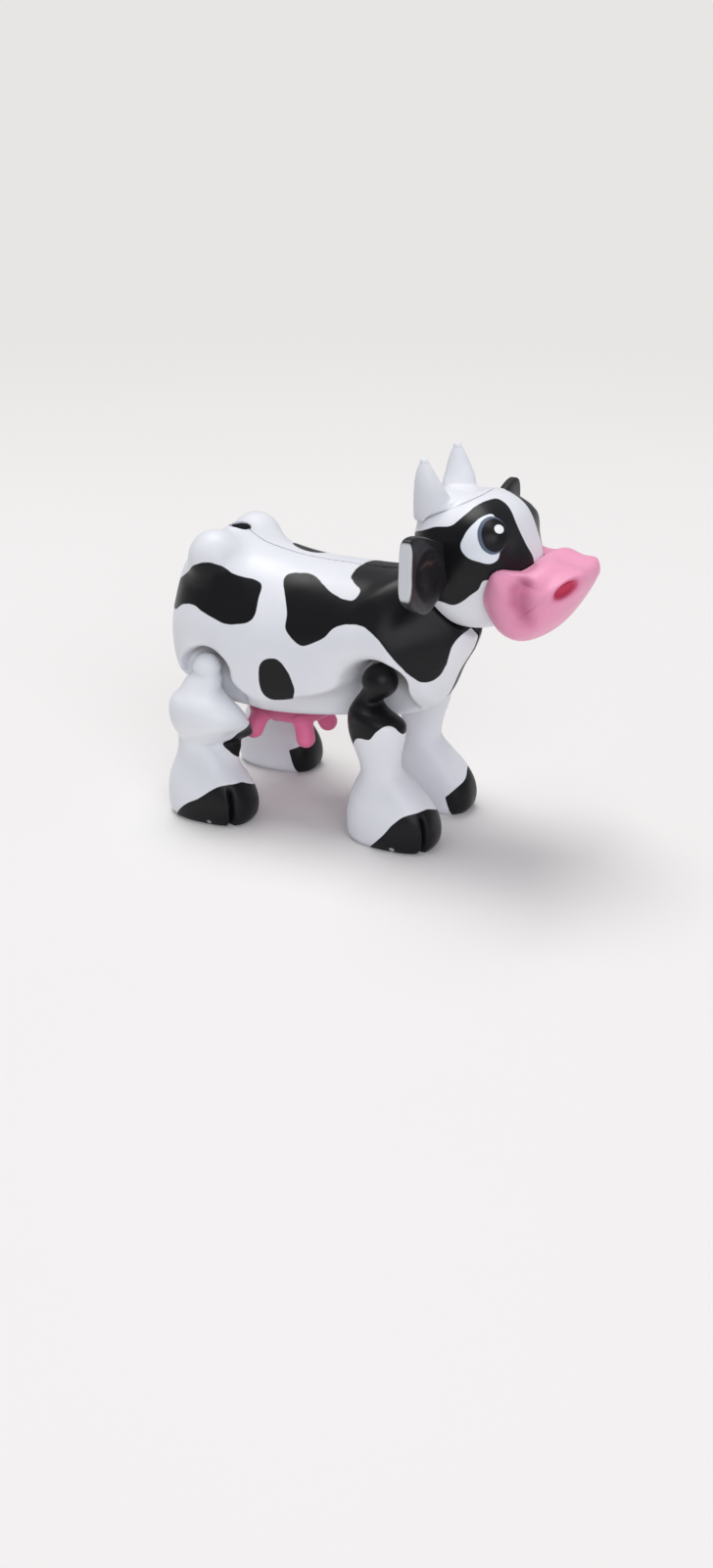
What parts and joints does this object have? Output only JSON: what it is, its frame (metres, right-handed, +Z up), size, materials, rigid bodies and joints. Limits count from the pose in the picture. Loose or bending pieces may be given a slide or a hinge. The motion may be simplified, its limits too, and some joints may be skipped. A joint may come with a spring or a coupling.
{
  "type": "toy cow",
  "caption": "Small standing toy cow of moulded plastic, with legs that swing at the hips and shoulders and a head that turns on a slanted neck.",
  "frame": {"origin": "on the ground, under the middle of the overall length and width; the hoof soles lie on z = 0", "axes": "+X towards the nose, +Y towards the cow's own left side, +Z up"},
  "size_m": [0.0457, 0.029, 0.0398],
  "materials": {
    "white_plastic": "white moulded plastic, satin gloss, with black painted patches",
    "black_plastic": "black moulded plastic, semi-gloss",
    "pink_plastic": "pink moulded plastic, satin gloss",
    "udder_plastic": "deep pink moulded plastic, satin",
    "clear_nylon": "natural nylon"
  },
  "bodies": {
    "body": {"body_shell_right": "white_plastic", "body_shell_left": "white_plastic", "udder": "udder_plastic", "neck_stud": "clear_nylon"},
    "head": {"head_shell": "white_plastic", "horn_cap": "white_plastic", "muzzle": "pink_plastic", "neck_socket": "clear_nylon", "ear_right": "black_plastic", "ear_left": "black_plastic"},
    "front_leg_right": {"front_leg_right": "white_plastic", "front_leg_pin_right": "clear_nylon"},
    "front_leg_left": {"front_leg_left": "white_plastic", "front_leg_pin_left": "clear_nylon"},
    "rear_leg_right": {"rear_leg_right": "white_plastic", "rear_leg_pin_right": "clear_nylon"},
    "rear_leg_left": {"rear_leg_left": "white_plastic", "rear_leg_pin_left": "clear_nylon"}
  },
  "joints": [
    {"name": "head_turn", "type": "hinge", "parent": "body", "child": "head", "pos_m": [0.00805, 0, 0.0251], "axis": [0.7071, 0, 0.7071], "range_deg": [-90, 90]},
    {"name": "front_leg_right_swing", "type": "hinge", "parent": "body", "child": "front_leg_right", "pos_m": [0.00295, 0, 0.0176], "axis": [0, 1, 0], "range_deg": [-25, 20]},
    {"name": "front_leg_left_swing", "type": "hinge", "parent": "body", "child": "front_leg_left", "pos_m": [0.00295, 0, 0.0176], "axis": [0, 1, 0], "range_deg": [-25, 20]},
    {"name": "rear_leg_right_swing", "type": "hinge", "parent": "body", "child": "rear_leg_right", "pos_m": [-0.01615, 0, 0.0167], "axis": [0, 1, 0], "range_deg": [-15, 25]},
    {"name": "rear_leg_left_swing", "type": "hinge", "parent": "body", "child": "rear_leg_left", "pos_m": [-0.01615, 0, 0.0167], "axis": [0, 1, 0], "range_deg": [-15, 25]}
  ]
}
